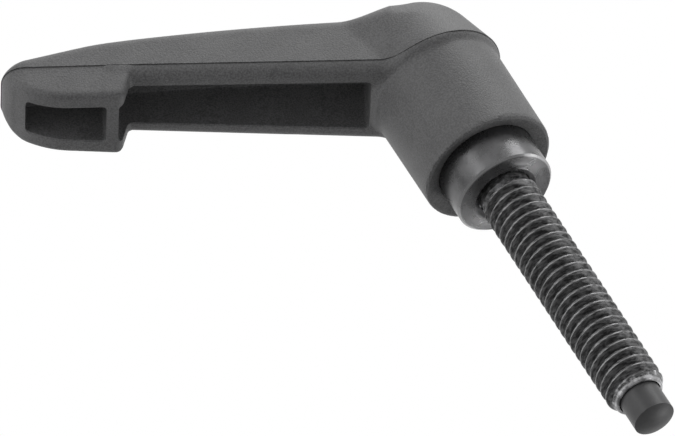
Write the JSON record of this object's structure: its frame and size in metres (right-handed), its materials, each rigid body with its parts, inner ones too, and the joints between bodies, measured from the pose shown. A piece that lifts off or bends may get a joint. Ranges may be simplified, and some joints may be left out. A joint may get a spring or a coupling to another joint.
{
  "type": "adjustable clamping lever",
  "caption": "Clamping lever with a raised hollow arm on a toothed hub, a steel collar and a threaded stud ending in a plastic thrust pin.",
  "frame": {"origin": "centre of the insert's seating face, on the stud's axis", "axes": "+Z along the stud's axis towards the handle's cap, +X towards the free end of the arm"},
  "size_m": [0.062, 0.0192, 0.0847],
  "materials": {
    "handle_plastic": "fine moulded grain, matte",
    "blackened_steel": "black oxide, satin",
    "stud_steel": "black oxide, satin, bright at the rolled end",
    "pin_plastic": "smooth, matte",
    "screw_steel": "black oxide, satin",
    "spring_steel": "drawn wire"
  },
  "bodies": {
    "base": {"threaded_insert": "blackened_steel", "threaded_stud": "stud_steel", "thrust_pin": "pin_plastic", "retaining_screw": "screw_steel"},
    "spring_body": {"spring": "spring_steel"},
    "handle_body": {"handle": "handle_plastic"}
  },
  "joints": [
    {"name": "handle_index", "type": "hinge", "parent": "base", "child": "spring_body", "pos_m": [0, 0, 0.0145], "axis": [0, 0, 1], "continuous": true},
    {"name": "handle_lift", "type": "slide", "parent": "spring_body", "child": "handle_body", "axis": [0, 0, 1], "range_m": [0, 0.0046], "stiffness_N_per_m": 600, "springref_m": -0.004, "deforming": ["spring"]}
  ]
}
